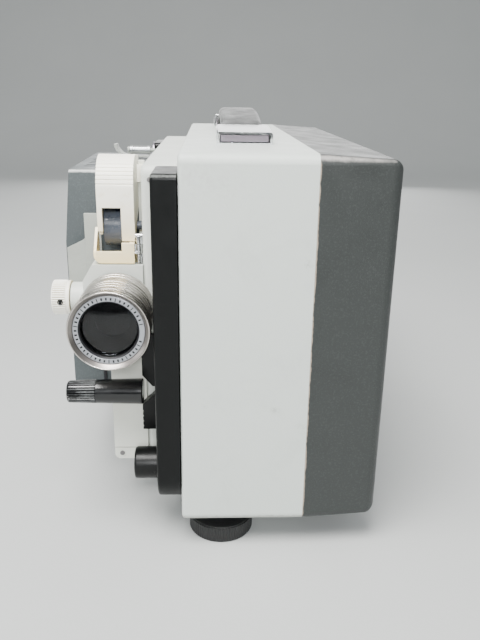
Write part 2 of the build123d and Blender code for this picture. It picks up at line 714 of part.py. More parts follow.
ring_step = 2.0
name_ring_r = 18.7
collar_outline = [(27.0, 18.0), (27.0, 20.4)]
for ring in range(6):
    start = 28.0 + ring * ring_step
    collar_outline += [(start, 20.8), (start + 1.2, 20.8), (start + 1.4, 20.2), (start + 1.9, 20.2)]
lens_barrel = turned(
    [(1.8, name_ring_r), (0.0, 20.6), (0.0, 21.0), (0.8, lens_r), (6.4, lens_r), (7.4, 20.8), (7.4, 18.0)]
    + collar_outline
    + [(41.0, 20.2), (41.0, barrel_r), (57.0, barrel_r), (57.0, 13.0), (20.0, 13.0), (14.0, 15.0),
       (3.4, 15.0), (3.4, name_ring_r)]
)
save(lens_barrel, "lens_barrel")

zoom_outline = [(7.8, 18.0 + running), (7.8, 20.8)]
for ring in range(8):
    start = 8.6 + ring * ring_step
    zoom_outline += [(start, 21.2), (start + 1.2, 21.2), (start + 1.4, 20.6), (start + 1.9, 20.6)]
zoom_ring = turned(zoom_outline + [(26.6, 20.6), (26.6, 18.0 + running)])
save(zoom_ring, "zoom_ring")

lens_name_ring = turned(
    [(2.2, 15.4), (1.8, 15.8), (1.8, 18.5), (3.4, name_ring_r), (3.4, 15.0), (2.2, 15.0)]
)
save(lens_name_ring, "lens_name_ring")

with BuildPart() as lens_glasses:
    for y0, y1, radius, bulge in ((5.0, 9.0, 15.0, 1.6), (49.0, 54.0, 13.0, 1.4)):
        sphere_r = (radius**2 + bulge**2) / (2 * bulge)
        spread = degrees(asin(radius / sphere_r))
        with BuildSketch(lamp_plane):
            with BuildLine():
                CenterArc((y0 - bulge + sphere_r, 0), sphere_r, 180 - spread, spread)
                Line((y0, radius), (y1, radius))
                CenterArc((y1 + bulge - sphere_r, 0), sphere_r, 0, spread)
                Line((y1 + bulge, 0), (y0 - bulge, 0))
            make_face()
        revolve(axis=optical_axis)
save(lens_glasses, "lens_glasses")

knob_left, knob_right, knob_r = right - light_width - dark_width - mechanism_reach, left - 64.2, 10.1
set_screw_x = left - 69.2
with BuildPart() as focus_knob:
    with BuildSketch(plane_x(knob_left)):
        with Locations((focus_y, focus_z)):
            Circle(knob_r)
            flutes(40, knob_r + 0.2, 0.55)
    extrude(amount=knob_right - knob_left)
    bar_x(knob_left, knob_left + 1.2, focus_y, focus_z, 7.4, Mode.SUBTRACT)
    bar_x(knob_left + 1.2, left - 53.8, focus_y, focus_z, focus_shaft_r)
    bar_y(set_screw_x, focus_y - knob_r - 0.2, focus_y - knob_r + 3.2, focus_z, 1.7, Mode.SUBTRACT)
save(focus_knob, "focus_knob")

with BuildPart() as focus_set_screw:
    bar_y(set_screw_x, focus_y - knob_r - 0.2, focus_y - knob_r + 3.2, focus_z, 1.7)
save(focus_set_screw, "focus_set_screw")

with BuildPart() as focus_bush:
    bar_x(left - 63.9, left - 56, focus_y, focus_z, 9.0)
    bar_x(left - 63.9, left - 56, focus_y, focus_z, focus_shaft_r + running, Mode.SUBTRACT)
save(focus_bush, "focus_bush")

# ---------------------------------------------------------------- levers
lever_tip = left - 66.5
rib_end = left - 50.0
with BuildPart() as control_lever:
    with BuildSketch(plane_x(lever_tip)):
        with Locations((lever_y, lever_z)):
            Circle(6.4)
    with BuildSketch(plane_x(left - 23.0)):
        with Locations((lever_y, lever_z)):
            Circle(7.5)
    loft()
    fillet(control_lever.faces().sort_by(Axis.X)[0].edges(), 1.2)
    with BuildSketch(plane_x(lever_tip)):
        with Locations((lever_y, lever_z)):
            with PolarLocations(7.0, 18):
                Circle(0.9)
    extrude(amount=rib_end - lever_tip, mode=Mode.SUBTRACT)
    bar_y(lever_x, lever_y, housing_front + 6, lever_z, lever_pin_r)
save(control_lever, "control_lever")

with BuildPart() as thumb_lever:
    with BuildSketch(plane_y(housing_front - gap)):
        with BuildLine():
            Polyline(
                (left - 24, thumb_z - 12), (left - 14.2, thumb_z - 12), (left - 14.2, base + 65.4),
                (left - 24, base + 56), close=True,
            )
        make_face()
    extrude(amount=6.5)
    for rib in range(4):
        block(left - 24.6, left - 23.4, front + 36.2, housing_front - gap, base + 41.5 + 3.2 * rib,
              base + 42.7 + 3.2 * rib, Mode.SUBTRACT)
    bar_y(thumb_x, housing_front - 1, housing_front + 5, thumb_z, 2.5)
save(thumb_lever, "thumb_lever")

# ---------------------------------------------------------------- reel arms and spindles
arm_x0, arm_x1 = left - 13.5, left - 0.6
with BuildPart() as front_arm:
    with BuildSketch(plane_x(arm_x0)):
        with BuildLine():
            Line((front_arm_y - arm_half, spindle_z), (front_arm_y - arm_half, base + 195))
            Line((front_arm_y - arm_half, base + 195), (front_arm_y + arm_half, base + 195))
            Line((front_arm_y + arm_half, base + 195), (front_arm_y + arm_half, spindle_z))
            ThreePointArc(
                (front_arm_y + arm_half, spindle_z), (front_arm_y, spindle_z - arm_end_r),
                (front_arm_y - arm_half, spindle_z),
            )
        make_face()
    extrude(amount=arm_x1 - arm_x0)
    fillet(front_arm.edges().filter_by(Axis.X).group_by(Axis.Z)[-1], 3.0)
    fillet(front_arm.faces().sort_by(Axis.X)[0].edges(), 1.6)
    bar_x(arm_x0, arm_x1, front_arm_y, arm_pivot_z, pivot_r + running, Mode.SUBTRACT)
    bar_x(arm_x0, arm_x0 + 2.4, front_arm_y, arm_pivot_z, 8.3, Mode.SUBTRACT)
    bar_x(arm_x0, left - 3.5, front_arm_y, spindle_z, hub_sleeve_r + running, Mode.SUBTRACT)
save(front_arm, "front_arm")

with BuildPart() as arm_pivots:
    bar_x(arm_x0 + 0.2, left + wall, front_arm_y, arm_pivot_z, pivot_r)
    bar_x(arm_x0 + 0.2, arm_x0 + 2.1, front_arm_y, arm_pivot_z, 8.0)
    bar_x(left - 31.2, housing_left, rear_arm_y, arm_pivot_z, pivot_r)
    bar_x(left - 31.2, left - 29.5, rear_arm_y, arm_pivot_z, 8.0)
save(arm_pivots, "arm_pivots")

front_hub_end = left - 27.3
with BuildPart() as front_spindle_hub:
    bar_x(front_hub_end, arm_x0 - gap, front_arm_y, spindle_z, hub_r)
    fillet(front_spindle_hub.faces().sort_by(Axis.X)[0].edges(), 1.5)
    bar_x(arm_x0 - gap, left - 4.0, front_arm_y, spindle_z, hub_sleeve_r)
    bar_x(front_hub_end, left - 4.0, front_arm_y, spindle_z, spindle_r + running, Mode.SUBTRACT)
save(front_spindle_hub, "front_spindle_hub")

with BuildPart() as front_spindle_core:
    bar_x(front_hub_end + 0.4, left - 4.2, front_arm_y, spindle_z, spindle_r)
    chamfer(front_spindle_core.faces().sort_by(Axis.X)[0].edges(), 0.8)
save(front_spindle_core, "front_spindle_core")

rear_x0, rear_x1 = left - 29.2, housing_left - gap
rear_arm_top = base + 191.5
with BuildPart() as rear_arm:
    with BuildSketch(plane_x(rear_x0)):
        with BuildLine():
            Line((rear_arm_y - arm_half, spindle_z), (rear_arm_y - arm_half, rear_arm_top))
            Line((rear_arm_y - arm_half, rear_arm_top), (rear_arm_y + arm_half, rear_arm_top))
            Line((rear_arm_y + arm_half, rear_arm_top), (rear_arm_y + arm_half, spindle_z))
            ThreePointArc(
                (rear_arm_y + arm_half, spindle_z), (rear_arm_y, spindle_z - arm_end_r),
                (rear_arm_y - arm_half, spindle_z),
            )
        make_face()
    extrude(amount=rear_x1 - rear_x0)
    fillet(rear_arm.edges().filter_by(Axis.X).group_by(Axis.Z)[-1], 3.0)
    fillet(rear_arm.faces().sort_by(Axis.X)[0].edges(), 1.6)
    bar_x(rear_x0, rear_x1, rear_arm_y, arm_pivot_z, pivot_r + running, Mode.SUBTRACT)
    bar_x(rear_x0, housing_left - 1.6, rear_arm_y, spindle_z, hub_sleeve_r + running, Mode.SUBTRACT)
save(rear_arm, "rear_arm")

rear_tip = left - 46.0
with BuildPart() as rear_spindle:
    bar_x(left - 31.2, rear_x0 - gap, rear_arm_y, spindle_z, hub_r)
    bar_x(rear_x0 - gap, housing_left - 2.0, rear_arm_y, spindle_z, hub_sleeve_r)
    bar_x(rear_tip, left - 31.2, rear_arm_y, spindle_z, spindle_r)
    chamfer(rear_spindle.faces().sort_by(Axis.X)[0].edges(), 1.0)
save(rear_spindle, "rear_spindle")

# ---------------------------------------------------------------- front foot
with BuildPart() as front_foot:
    bar_z(foot_x, foot_y, 0, foot_disc, foot_r - 0.8)
    with BuildSketch(plane_z(0.8)):
        with Locations((foot_x, foot_y)):
            Circle(foot_r)
            flutes(72, foot_r + 0.2, 0.6)
    extrude(amount=foot_disc - 1.6)
save(front_foot, "front_foot")

with BuildPart() as front_foot_screw:
    bar_z(foot_x, foot_y, foot_disc, base + 24, foot_stem_r)
save(front_foot_screw, "front_foot_screw")

with BuildPart() as foot_bush:
    bar_z(foot_x, foot_y, base, base + 12, foot_bush_r)
    bar_z(foot_x, foot_y, base, base + 12, foot_stem_r + running, Mode.SUBTRACT)
save(foot_bush, "foot_bush")

# ---------------------------------------------------------------- carrying handle
bracket_half = 15.5
bracket_length = 32.0
bracket_low, bracket_high = top + 6.6, top + 9.0
handle_half = 108.0           # from the middle of the handle to the outer end of a bracket
strap_half = handle_half - bracket_length - 0.2
strap_width = 25.0
handle_end, bracket_end = handle_y - handle_half, handle_y - handle_half + bracket_length
with BuildPart() as handle_brackets:
    with BuildSketch(plane_x(handle_x - bracket_half)):
        with BuildLine():
            Polyline(
                (handle_end, top), (handle_end, bracket_low), (bracket_end, bracket_high),
                (bracket_end, top), close=True,
            )
        make_face()
    extrude(amount=2 * bracket_half)
    fillet(handle_brackets.edges().group_by(Axis.Z)[-1].filter_by(Axis.X), 0.6)
    slope = handle_brackets.faces().sort_by(Axis.Z)[-1]
    fillet(slope.edges().filter_by(lambda e: abs(e.center().X - handle_x) > 1), 1.6)
    with BuildSketch(plane_x(handle_x - bracket_half + 1.4)):
        with BuildLine():
            Polyline(
                (handle_end - 1, top + 0.8), (handle_end - 1, bracket_low - 1.2),
                (bracket_end + 1, bracket_high - 1.2), (bracket_end + 1, top + 0.8), close=True,
            )
        make_face()
    extrude(amount=2 * bracket_half - 2.8, mode=Mode.SUBTRACT)
    mirror(about=plane_y(handle_y))
save(handle_brackets, "handle_brackets")

with BuildPart() as handle_strap:
    with BuildSketch(plane_x(handle_x - strap_width / 2)):
        with BuildLine():
            crown = ThreePointArc(
                (handle_y - strap_half, top + 8.4), (handle_y, top + 16.2),
                (handle_y + strap_half, top + 8.4),
            )
            Line((handle_y + strap_half, top + 8.4), (handle_y + strap_half, top + 1.2))
            ThreePointArc(
                (handle_y + strap_half, top + 1.2), (handle_y, top + 10.0),
                (handle_y - strap_half, top + 1.2),
            )
            Line((handle_y - strap_half, top + 1.2), (handle_y - strap_half, top + 8.4))
        make_face()
    extrude(amount=strap_width)
    fillet(handle_strap.faces().sort_by(Axis.Z)[-1].edges().filter_by(GeomType.CIRCLE), 3.4)
save(handle_strap, "handle_strap")

tongue_half = 13.4
with BuildPart() as handle_tongues:
    block(handle_x - tongue_half, handle_x + tongue_half, handle_end + 2.4, handle_y - strap_half,
          top + 1.2, top + 4.9)
    mirror(about=plane_y(handle_y))
save(handle_tongues, "handle_tongues")
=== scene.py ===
import json
from math import cos, pi, radians, sin

import bmesh
import bpy
from mathutils import Matrix, Vector


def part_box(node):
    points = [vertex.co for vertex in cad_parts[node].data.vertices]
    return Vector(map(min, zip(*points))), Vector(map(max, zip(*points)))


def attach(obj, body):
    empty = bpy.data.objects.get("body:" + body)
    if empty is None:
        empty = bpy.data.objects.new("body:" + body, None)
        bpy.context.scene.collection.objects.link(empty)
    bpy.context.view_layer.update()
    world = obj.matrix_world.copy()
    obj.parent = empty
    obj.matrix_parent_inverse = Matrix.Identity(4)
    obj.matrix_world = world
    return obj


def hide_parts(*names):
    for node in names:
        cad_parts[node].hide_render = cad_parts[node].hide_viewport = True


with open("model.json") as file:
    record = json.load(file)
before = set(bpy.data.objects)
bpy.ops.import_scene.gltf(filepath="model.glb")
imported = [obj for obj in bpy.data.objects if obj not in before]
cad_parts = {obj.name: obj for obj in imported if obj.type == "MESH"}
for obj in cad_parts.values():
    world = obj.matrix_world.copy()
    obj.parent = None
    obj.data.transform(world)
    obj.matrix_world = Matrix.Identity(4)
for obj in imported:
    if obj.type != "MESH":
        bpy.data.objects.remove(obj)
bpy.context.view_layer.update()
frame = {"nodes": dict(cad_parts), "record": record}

MM = 0.001
JOIN_GAP = 1e-7
CAD_JOIN_GAP = 1e-6
FLAT = radians(0.6)
SHARP = radians(34)
AHEAD = (0, 1, 0)
TO_FRONT = (0, -1, 0)
TO_RIGHT = (1, 0, 0)
NODES = frame["nodes"]
scene = bpy.context.scene


# ---------------------------------------------------------------- places from the frame
def node_box(name):
    """Lowest and highest corner of a CAD node."""
    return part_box(name)


case_lo, case_hi = node_box("case_shell")
LEFT, FRONT, BASE = case_lo.x, case_lo.y, case_lo.z
TOP, SEAM = case_hi.z, case_hi.x


def case_point(x, y, z):
    """Point given in millimetres from the case's lower front left corner."""
    return Vector((LEFT + x * MM, FRONT + y * MM, BASE + z * MM))


def middle(name):
    """Middle of a CAD node's box."""
    lo, hi = node_box(name)
    return (lo + hi) / 2


record = frame["record"]
BODY_OF = {node: body for body, nodes in record["behaviour"]["bodies"].items() for node in nodes}
LENS = Vector((middle("lens_barrel").x, node_box("lens_barrel")[0].y, middle("lens_barrel").z))
KNOB = Vector((node_box("focus_knob")[0].x, middle("focus_knob").y, middle("focus_knob").z))
LEVER = Vector((node_box("control_lever")[0].x, case_point(0, 33, 0).y, middle("control_lever").z))


# ---------------------------------------------------------------- materials
class Shader:
    """Principled material whose colour, roughness and bump come from object-space nodes."""

    def __init__(self, name, rough=0.5, metallic=0.0, **fixed):
        self.mat = bpy.data.materials.new(name)
        self.mat.use_nodes = True
        self.tree = self.mat.node_tree
        self.bsdf = self.tree.nodes["Principled BSDF"]
        self.bsdf.inputs["Metallic"].default_value = metallic
        self.bsdf.inputs["Roughness"].default_value = rough
        for key, value in fixed.items():
            self.bsdf.inputs[key.replace("_", " ")].default_value = value
        self.place = self.node("ShaderNodeTexCoord").outputs["Object"]

    def node(self, kind, **props):
        made = self.tree.nodes.new(kind)
        for key, value in props.items():
            setattr(made, key, value)
        return made

    def feed(self, socket, value):
        """Set a socket to a number, a colour or another node's output."""
        if isinstance(value, bpy.types.NodeSocket):
            self.tree.links.new(value, socket)
        else:
            socket.default_value = value

    def math(self, how, a, b=0.0, clamp=False):
        made = self.node("ShaderNodeMath", operation=how, use_clamp=clamp)
        self.feed(made.inputs[0], a)
        self.feed(made.inputs[1], b)
        return made.outputs[0]

    def stretch(self, x=1.0, y=1.0, z=1.0, start=(0.0, 0.0, 0.0)):
        """Object coordinates measured from start and scaled on each axis."""
        made = self.node("ShaderNodeMapping", vector_type="POINT")
        made.inputs["Scale"].default_value = (x, y, z)
        made.inputs["Location"].default_value = (-start[0] * x, -start[1] * y, -start[2] * z)
        self.feed(made.inputs["Vector"], self.place)
        return made.outputs[0]

    def noise(self, scale, detail=3.0, rough=0.55, where=None, distortion=0.0):
        made = self.node("ShaderNodeTexNoise")
        made.inputs["Scale"].default_value = scale
        made.inputs["Detail"].default_value = detail
        made.inputs["Roughness"].default_value = rough
        made.inputs["Distortion"].default_value = distortion
        self.feed(made.inputs["Vector"], where or self.place)
        return made.outputs["Fac"]

    def ramp(self, value, low, high, start=0.0, end=1.0):
        """Map value from low..high to start..end, clamped."""
        made = self.node("ShaderNodeMapRange")
        self.feed(made.inputs["Value"], value)
        for key, number in zip(("From Min", "From Max", "To Min", "To Max"), (low, high, start, end)):
            made.inputs[key].default_value = number
        return made.outputs["Result"]

    def mix(self, amount, a, b):
        made = self.node("ShaderNodeMix", data_type="RGBA")
        self.feed(made.inputs[0], amount)
        for socket, value in ((made.inputs[6], a), (made.inputs[7], b)):
            self.feed(socket, value if isinstance(value, bpy.types.NodeSocket) else (*value, 1.0))
        return made.outputs[2]

    def axes(self):
        """Object X, Y and Z as separate outputs."""
        made = self.node("ShaderNodeSeparateXYZ")
        self.feed(made.inputs[0], self.place)
        return made.outputs

    def from_line(self, axis_a, value_a, axis_b, value_b):
        """Distance from a line parallel to the third axis."""
        xyz = self.axes()
        da = self.math("SUBTRACT", xyz[axis_a], value_a)
        db = self.math("SUBTRACT", xyz[axis_b], value_b)
        squares = self.math("ADD", self.math("MULTIPLY", da, da), self.math("MULTIPLY", db, db))
        return self.math("SQRT", squares)

    def near_line(self, axis_a, value_a, axis_b, value_b, reach):
        """1 on a line parallel to the third axis, falling to 0 at reach away."""
        return self.ramp(self.from_line(axis_a, value_a, axis_b, value_b), 0.0, reach, 1.0, 0.0)

    def spot(self, place, reach):
        """1 at a point, falling to 0 at reach away."""
        made = self.node("ShaderNodeVectorMath", operation="DISTANCE")
        self.feed(made.inputs[0], self.place)
        made.inputs[1].default_value = place
        return self.ramp(made.outputs["Value"], 0.0, reach, 1.0, 0.0)

    def over(self, amount, colour):
        """Lay a colour over the present base colour by amount."""
        base = self.bsdf.inputs["Base Color"].links[0].from_socket
        self.colour(self.mix(amount, base, colour))

    def broken_wear_and_highlight(self, mask, scale=260.0, cut=0.5, soft=0.12):
        """A broken-up version of a mask, for chips and rubbed edges, and for painted highlights along edges.
        """
        broken = self.math("MULTIPLY", self.noise(scale, 6.0, 0.7), mask)
        return self.ramp(broken, cut * 0.6, cut * 0.6 + soft)

    def colour(self, value):
        self.feed(self.bsdf.inputs["Base Color"], value if isinstance(value, bpy.types.NodeSocket)
                  else (*value, 1.0))

    def roughness(self, value):
        self.feed(self.bsdf.inputs["Roughness"], value)

    def bump(self, height, distance=0.0002, strength=1.0):
        """Add a bump layer on top of the ones before it."""
        made = self.node("ShaderNodeBump")
        made.inputs["Strength"].default_value = strength
        made.inputs["Distance"].default_value = distance
        self.feed(made.inputs["Height"], height)
        before = self.bsdf.inputs["Normal"].links
        if before:
            self.feed(made.inputs["Normal"], before[0].from_socket)
        self.feed(self.bsdf.inputs["Normal"], made.outputs["Normal"])


def enamel(name, colour, dirt, rough=0.42, grain=900.0, depth=0.00006, blotch=0.25, speckle=0.0, shine=0.4):
    """Painted sheet metal: soft colour drift, grime, fine orange peel."""
    s = Shader(name, Specular_IOR_Level=shine)
    drift = s.noise(9.0, 4.0, 0.6)
    grime = s.ramp(s.noise(34.0, 8.0, 0.72, distortion=0.6), 0.52, 0.78)
    lighter = tuple(min(1.0, c * 1.06) for c in colour)
    base = s.mix(drift, colour, lighter)
    base = s.mix(s.math("MULTIPLY", grime, blotch), base, dirt)
    if speckle > 0.0:
        fleck = s.ramp(s.noise(grain * 0.7, 2.0, 0.6), 0.52, 0.66)
        base = s.mix(s.math("MULTIPLY", fleck, speckle), base, tuple(c * 1.9 + 0.01 for c in colour))
    s.colour(base)
    s.roughness(s.ramp(s.noise(60.0, 5.0), 0.3, 0.7, rough - 0.07, rough + 0.1))
    s.bump(s.noise(grain, 2.0, 0.5), depth)
    return s


def plastic(name, colour, rough=0.45, grain=1500.0, depth=0.00004, drift=0.12, scratch=0.0, shine=0.5):
    """Moulded plastic or hard rubber with fine grain and faint handling marks."""
    s = Shader(name, Specular_IOR_Level=shine)
    lighter = tuple(min(1.0, c * (1.0 + drift) + 0.001) for c in colour)
    base = s.mix(s.noise(45.0, 5.0, 0.6), colour, lighter)
    if scratch > 0.0:
        streak = s.noise(240.0, 6.0, 0.7, s.stretch(1.0, 0.25, 1.6))
        worn = tuple(min(1.0, c * 1.5 + 0.03) for c in colour)
        base = s.mix(s.math("MULTIPLY", s.ramp(streak, 0.6, 0.72), scratch), base, worn)
    s.colour(base)
    s.roughness(s.ramp(s.noise(90.0, 5.0), 0.3, 0.7, rough - 0.08, rough + 0.1))
    s.bump(s.noise(grain, 2.0, 0.5), depth)
    return s


def metal(name, colour, rough=0.3, brushed=None, depth=0.00002, tarnish=0.25):
    """Bare or plated metal with fine lines along one axis and a little tarnish."""
    s = Shader(name, metallic=1.0)
    darker = tuple(c * 0.72 for c in colour)
    cloud = s.noise(55.0, 6.0, 0.65)
    s.colour(s.mix(s.math("MULTIPLY", s.ramp(cloud, 0.45, 0.75), tarnish), colour, darker))
    where = s.stretch(*brushed) if brushed else s.place
    lines = s.noise(700.0, 3.0, 0.6, where)
    s.roughness(s.ramp(s.math("ADD", s.math("MULTIPLY", lines, 0.6), s.math("MULTIPLY", cloud, 0.4)),
                       0.3, 0.7, rough - 0.06, rough + 0.14))
    s.bump(lines, depth)
    return s


CASE_MARKS = (  # place in case millimetres, reach in millimetres, strength, shade
    ((50.8, 0.0, 70.3), 3.2, 0.22, 0.24),
    ((13.1, 0.0, 73.5), 3.0, 0.18, 0.25),
    ((64.7, 0.0, 150.9), 3.6, 0.22, 0.24),
    ((8.4, 0.0, 194.7), 13.0, 0.14, 0.34),
    ((22.8, 0.0, 190.2), 15.0, 0.12, 0.36),
    ((66.0, 0.0, 60.0), 6.0, 0.14, 0.3),
)


def case_materials(made):
    """The two painted halves of the case, with the marks they have picked up."""
    case = enamel("case_grey_enamel", (0.50, 0.535, 0.505), (0.33, 0.35, 0.325), blotch=0.26)
    for place, reach, strength, shade in CASE_MARKS:
        near = case.spot(case_point(*place), reach * MM)
        mark = case.math("MULTIPLY", near, case.ramp(case.noise(420.0, 6.0, 0.7), 0.46, 0.6))
        case.over(case.math("MULTIPLY", mark, strength * 2.0, clamp=True), (shade, shade, shade * 0.94))
    foot_edge = case.near_line(1, FRONT + 1.0 * MM, 2, BASE + 1.2 * MM, 5.0 * MM)
    case.over(case.math("MULTIPLY", case.broken_wear_and_highlight(foot_edge, 300.0, 0.36), 0.55), (0.30, 0.29, 0.26))
    made["case"] = case

    dark = enamel("dark_textured_cover", (0.030, 0.033, 0.032), (0.018, 0.020, 0.019),
                  rough=0.36, grain=1500.0, depth=0.00012, blotch=0.4, speckle=0.22, shine=0.26)
    # Lighter top front edge: rubbed paint, with a painted highlight along the rounded edge.
    top_edge_wear_and_highlight = dark.near_line(1, FRONT + 1.6 * MM, 2, TOP - 1.4 * MM, 3.4 * MM)
    dark.over(dark.math("MULTIPLY", dark.broken_wear_and_highlight(top_edge_wear_and_highlight, 120.0, 0.22, 0.25), 0.65), (0.42, 0.40, 0.38))
    seam_edge = dark.near_line(0, SEAM + 0.2 * MM, 1, FRONT, 1.5 * MM)
    dark.over(dark.broken_wear_and_highlight(seam_edge, 150.0, 0.5), (0.30, 0.25, 0.20))
    low_edge = dark.near_line(1, FRONT + 0.8 * MM, 2, BASE + 1.0 * MM, 2.6 * MM)
    dark.over(dark.math("MULTIPLY", dark.broken_wear_and_highlight(low_edge, 240.0, 0.42), 0.5), (0.20, 0.19, 0.18))
    made["dark_cover"] = dark

    lamp = enamel("lamp_house_grey", (0.060, 0.070, 0.073), (0.038, 0.045, 0.048),
                  rough=0.42, grain=1300.0, depth=0.0001, blotch=0.4, speckle=0.2, shine=0.35)
    lamp_lo, lamp_hi = node_box("lamp_house_cover")
    # Pale line along the top front edge: a painted highlight on the rounded edge, broken up.
    rim = lamp.near_line(1, lamp_lo.y + 0.6 * MM, 2, lamp_hi.z - 0.6 * MM, 1.9 * MM)
    lamp.over(lamp.math("MULTIPLY", lamp.broken_wear_and_highlight(rim, 200.0, 0.2, 0.3), 0.8), (0.55, 0.56, 0.54))
    made["lamp_house"] = lamp


def cream(name, colour, yellowed_and_shaded, axis, low, high):
    """Cream plastic that turns darker and yellower from high to low along an axis: yellowing, with painted
    shade towards the low end.
    """
    s = plastic(name, colour, rough=0.33, grain=1800.0, depth=0.00002, drift=0.03)
    # Painted shade with yellowing: the darker yellow is laid over towards the low end.
    s.over(s.math("MULTIPLY", s.ramp(s.axes()[axis], low, high, 1.0, 0.0), 0.9), yellowed_and_shaded)
    stain = s.ramp(s.noise(110.0, 6.0, 0.7), 0.55, 0.75)
    s.over(s.math("MULTIPLY", stain, 0.35), tuple(c * 0.82 for c in yellowed_and_shaded))
    return s


def build_materials():
    """All materials of the object, by name."""
    made = {}
    case_materials(made)
    made["housing"] = enamel("housing_grey_enamel", (0.52, 0.54, 0.50), (0.36, 0.355, 0.31), blotch=0.24)
    warm = enamel("lower_cover_enamel", (0.62, 0.63, 0.565), (0.44, 0.40, 0.32), blotch=0.3)
    made["warm_paint"] = warm
    level = warm.math("ABSOLUTE", warm.math("SUBTRACT", warm.axes()[2], BASE + 24.0 * MM))
    warm.over(warm.ramp(level, 0.15 * MM, 0.45 * MM, 0.75, 0.0), (0.20, 0.185, 0.15))
    arm = plastic("reel_arm_black", (0.0030, 0.0034, 0.0034), rough=0.36, grain=1300.0,
                  depth=0.00005, scratch=0.10, shine=0.16)
    # Lighter top front edge: rubbed paint, with a painted highlight along the edge.
    arm_edge_wear_and_highlight = arm.near_line(1, FRONT + 1.2 * MM, 2, node_box("front_arm")[1].z - 1.2 * MM, 2.2 * MM)
    arm.over(arm.math("MULTIPLY", arm.broken_wear_and_highlight(arm_edge_wear_and_highlight, 260.0, 0.42, 0.2), 0.35), (0.22, 0.23, 0.22))
    made["arm"] = arm
    made["black"] = plastic("black_satin", (0.0032, 0.0035, 0.0035), rough=0.32, scratch=0.06, shine=0.22)
    lever = plastic("lever_black", (0.0030, 0.0034, 0.0040), rough=0.2, depth=0.00001, shine=0.55)
    out = lever.ramp(lever.from_line(1, LEVER.y, 2, LEVER.z), 6.25 * MM, 6.55 * MM)
    ribbed = lever.ramp(lever.axes()[0], case_point(-50.6, 0, 0).x, case_point(-50.0, 0, 0).x, 1.0, 0.0)
    rubbed = lever.ramp(lever.noise(300.0, 5.0, 0.7, lever.stretch(0.3, 1.0, 1.0)), 0.4, 0.6)
    on_ribs = lever.math("MULTIPLY", out, ribbed)
    lever.over(lever.math("MULTIPLY", on_ribs, lever.math("MULTIPLY", rubbed, 0.55)), (0.22, 0.23, 0.23))
    made["lever"] = lever
    made["black_rough"] = plastic("black_grained", (0.006, 0.0062, 0.0065), rough=0.45, grain=1100.0,
                                  depth=0.00008, scratch=0.2)
    made["strap"] = plastic("strap_gloss_black", (0.005, 0.006, 0.006), rough=0.34, grain=520.0,
                            depth=0.00016, drift=0.6, shine=0.25)
    # Guide and shoe darker and yellower towards the shoe's bottom: yellowing, with painted shade low down.
    made["cream"] = cream("cream_plastic", (0.93, 0.90, 0.79), (0.84, 0.67, 0.33), 2,
                          node_box("guide_shoe")[0].z, node_box("film_guide")[1].z - 22 * MM)
    # Knob darker and yellower towards its inner end: yellowing, with a painted shade line where it meets the
    # boss.
    made["knob"] = cream("knob_plastic", (0.92, 0.91, 0.84), (0.66, 0.56, 0.30), 0,
                         node_box("focus_knob")[0].x + 12.2 * MM, node_box("focus_knob")[0].x + 8.6 * MM)
    knob = made["knob"]
    # Knurl and rim grooves darker and browner: grime, with painted shade in the hollows.
    dirt = knob.ramp(knob.from_line(1, KNOB.y, 2, KNOB.z), 9.35 * MM, 9.95 * MM, 1.0, 0.0)
    outside = knob.ramp(knob.from_line(1, KNOB.y, 2, KNOB.z), 8.4 * MM, 8.8 * MM)
    knob.over(knob.math("MULTIPLY", knob.math("MULTIPLY", dirt, outside), 0.75), (0.52, 0.44, 0.27))
    made["rubber"] = plastic("rubber", (0.010, 0.010, 0.010), rough=0.7, grain=900.0, depth=0.0001, shine=0.3)
    made["roller"] = plastic("sprocket_nylon", (0.062, 0.072, 0.092), rough=0.3, grain=1400.0, drift=0.35)
    made["coil"] = plastic("coil_tape", (0.42, 0.22, 0.06), rough=0.4)
    made["ceramic"] = plastic("ceramic", (0.72, 0.69, 0.62), rough=0.6)
    made["wheel"] = plastic("worm_wheel_fibre", (0.55, 0.42, 0.24), rough=0.5)
    made["lens_metal"] = metal("lens_silver", (0.60, 0.56, 0.52), rough=0.24, brushed=(0.2, 8.0, 0.2))
    made["lens_black"] = plastic("lens_black", (0.0022, 0.0024, 0.0026), rough=0.42, grain=2000.0, shine=0.25)
    made["lens_worn"] = metal("lens_tarnished", (0.26, 0.24, 0.225), rough=0.3, brushed=(0.2, 8.0, 0.2))
    made["name_ring"] = metal("name_ring_silver", (0.42, 0.43, 0.46), rough=0.34, brushed=(1.0, 1.0, 1.0))
    made["ink"] = plastic("engraved_ink", (0.010, 0.010, 0.012), rough=0.5, shine=0.3)
    made["chrome"] = metal("chrome", (0.60, 0.61, 0.62), rough=0.10, tarnish=0.1, depth=0.000004)
    made["sheet"] = metal("sheet_metal", (0.42, 0.43, 0.43), rough=0.3, brushed=(1.0, 6.0, 0.2))
    made["shield"] = enamel("shield_grey", (0.30, 0.315, 0.29), (0.18, 0.18, 0.16), rough=0.42, blotch=0.35)
    made["steel"] = metal("machined_steel", (0.40, 0.375, 0.41), rough=0.32, brushed=(1.0, 0.2, 1.0))
    made["tongue"] = metal("tongue_steel", (0.20, 0.175, 0.20), rough=0.3, brushed=(1.0, 0.2, 1.0))
    made["core"] = metal("laminated_core", (0.22, 0.21, 0.21), rough=0.55,
                         brushed=(0.1, 9.0, 0.1), depth=0.0002)
    glass = Shader("coated_glass", rough=0.03, Transmission_Weight=1.0, IOR=1.4, Specular_IOR_Level=0.03)
    glass.colour(glass.mix(glass.noise(30.0, 2.0), (0.16, 0.19, 0.20), (0.20, 0.18, 0.22)))
    glass.roughness(glass.ramp(glass.noise(300.0, 6.0), 0.4, 0.75, 0.01, 0.09))
    made["glass"] = glass
    clear = Shader("clear_glass", rough=0.05, Transmission_Weight=0.9, IOR=1.5)
    clear.colour(clear.mix(clear.noise(80.0), (0.92, 0.94, 0.95), (0.86, 0.88, 0.9)))
    clear.roughness(clear.ramp(clear.noise(200.0, 4.0), 0.4, 0.7, 0.02, 0.08))
    made["clear"] = clear
    return {key: s.mat for key, s in made.items()}


MATS = build_materials()

